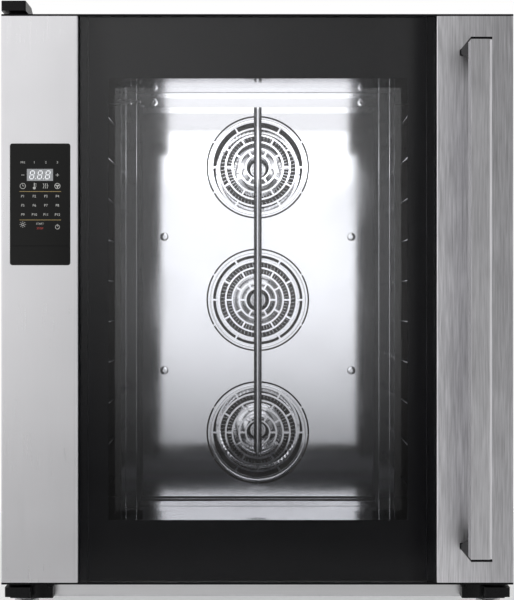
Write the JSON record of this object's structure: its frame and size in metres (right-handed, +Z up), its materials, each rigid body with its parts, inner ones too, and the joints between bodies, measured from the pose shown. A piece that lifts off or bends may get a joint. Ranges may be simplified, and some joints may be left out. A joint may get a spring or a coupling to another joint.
{
  "type": "convection oven",
  "caption": "Free-standing convection oven with a full-width glazed door on a side hinge, a tall handle bar, fan wheels behind a grille baffle, and tray racks.",
  "frame": {"origin": "on the floor under the middle of the whole object's bounding box, handle and rear fittings included", "axes": "+Z up, -Y the way the door faces, +X to the right of someone facing the door"},
  "size_m": [0.8, 0.833, 0.9731],
  "materials": {
    "casing_steel": "satin",
    "frame_steel": "satin",
    "galvanised_steel": "matte",
    "cavity_steel": "polished",
    "baffle_steel": "polished",
    "rack_steel": "polished",
    "bolt_steel": "polished",
    "pipe_steel": "polished",
    "wheel_steel": "polished",
    "heater_sheath": "matte",
    "mineral_wool": "matte",
    "motor_paint": "satin",
    "valve_plastic": "satin",
    "relay_grey": "satin",
    "circuit_green": "satin",
    "lamp_diffuser": "satin",
    "gasket_silicone": "satin",
    "black_casting": "satin",
    "black_moulding": "satin",
    "door_aluminium": "satin",
    "handle_metal": "satin",
    "printed_glass": "gloss",
    "clear_glass": "gloss",
    "panel_glass": "gloss",
    "foot_steel": "satin"
  },
  "bodies": {
    "casing": {"left_side_panel": "casing_steel", "right_side_panel": "casing_steel", "top_panel": "casing_steel", "back_panel": "casing_steel", "base_pan": "galvanised_steel", "front_frame": "frame_steel", "cavity_liner": "cavity_steel", "insulation_slabs": "mineral_wool", "motor_plate": "galvanised_steel", "fan_motor_top": "motor_paint", "fan_motor_middle": "motor_paint", "fan_motor_bottom": "motor_paint", "ring_heater_top": "heater_sheath", "ring_heater_middle": "heater_sheath", "ring_heater_bottom": "heater_sheath", "fan_baffle": "baffle_steel", "baffle_cross_bar": "baffle_steel", "baffle_bolts": "bolt_steel", "left_tray_rack": "rack_steel", "right_tray_rack": "rack_steel", "steam_pipe": "pipe_steel", "water_valve": "valve_plastic", "drain_pipe": "pipe_steel", "exhaust_chimney": "casing_steel", "cable_gland": "black_moulding", "relay_board": "relay_grey", "door_gasket": "gasket_silicone", "latch_striker": "bolt_steel", "top_hinge_bracket": "black_casting", "bottom_hinge_bracket": "black_casting", "door_rest_bracket": "black_casting", "bracket_screws": "bolt_steel"},
    "door": {"control_side_profile": "door_aluminium", "handle_side_profile": "door_aluminium", "door_bottom_cap": "black_moulding", "door_top_cap": "black_moulding", "outer_glass": "printed_glass", "inner_glass": "clear_glass", "door_inner_frame": "frame_steel", "inner_glass_clips": "bolt_steel", "touch_panel": "panel_glass", "control_board": "circuit_green", "door_lamps": "lamp_diffuser", "hinge_bushes": "black_moulding"},
    "handle": {"handle_bar": "handle_metal", "upper_handle_arm": "black_moulding", "lower_handle_arm": "black_moulding", "latch_shaft": "bolt_steel", "latch_hook": "bolt_steel"},
    "fan_top": {"impeller_top": "wheel_steel", "fan_shaft_top": "bolt_steel"},
    "fan_middle": {"impeller_middle": "wheel_steel", "fan_shaft_middle": "bolt_steel"},
    "fan_bottom": {"impeller_bottom": "wheel_steel", "fan_shaft_bottom": "bolt_steel"},
    "foot_front_left": {"front_left_foot": "foot_steel"},
    "foot_front_right": {"front_right_foot": "foot_steel"},
    "foot_rear_left": {"rear_left_foot": "foot_steel"},
    "foot_rear_right": {"rear_right_foot": "foot_steel"}
  },
  "joints": [
    {"name": "door_swing", "type": "hinge", "parent": "casing", "child": "door", "pos_m": [-0.378, -0.2935, 0.5], "axis": [0, 0, -1], "range_deg": [0, 180]},
    {"name": "handle_turn", "type": "hinge", "parent": "door", "child": "handle", "pos_m": [0.333, -0.3, 0.5], "axis": [0, 0, 1], "range_deg": [0, 15], "stiffness_Nm_per_rad": 3},
    {"name": "fan_top_spin", "type": "hinge", "parent": "casing", "child": "fan_top", "pos_m": [0, 0.27, 0.769], "axis": [0, 1, 0], "continuous": true},
    {"name": "fan_middle_spin", "type": "hinge", "parent": "casing", "child": "fan_middle", "pos_m": [0, 0.27, 0.506], "axis": [0, 1, 0], "continuous": true},
    {"name": "fan_bottom_spin", "type": "hinge", "parent": "casing", "child": "fan_bottom", "pos_m": [0, 0.27, 0.243], "axis": [0, 1, 0], "continuous": true},
    {"name": "foot_front_left_screw", "type": "slide", "parent": "casing", "child": "foot_front_left", "axis": [0, 0, -1], "range_m": [0, 0.012]},
    {"name": "foot_front_right_screw", "type": "slide", "parent": "casing", "child": "foot_front_right", "axis": [0, 0, -1], "range_m": [0, 0.012]},
    {"name": "foot_rear_left_screw", "type": "slide", "parent": "casing", "child": "foot_rear_left", "axis": [0, 0, -1], "range_m": [0, 0.012]},
    {"name": "foot_rear_right_screw", "type": "slide", "parent": "casing", "child": "foot_rear_right", "axis": [0, 0, -1], "range_m": [0, 0.012]}
  ]
}
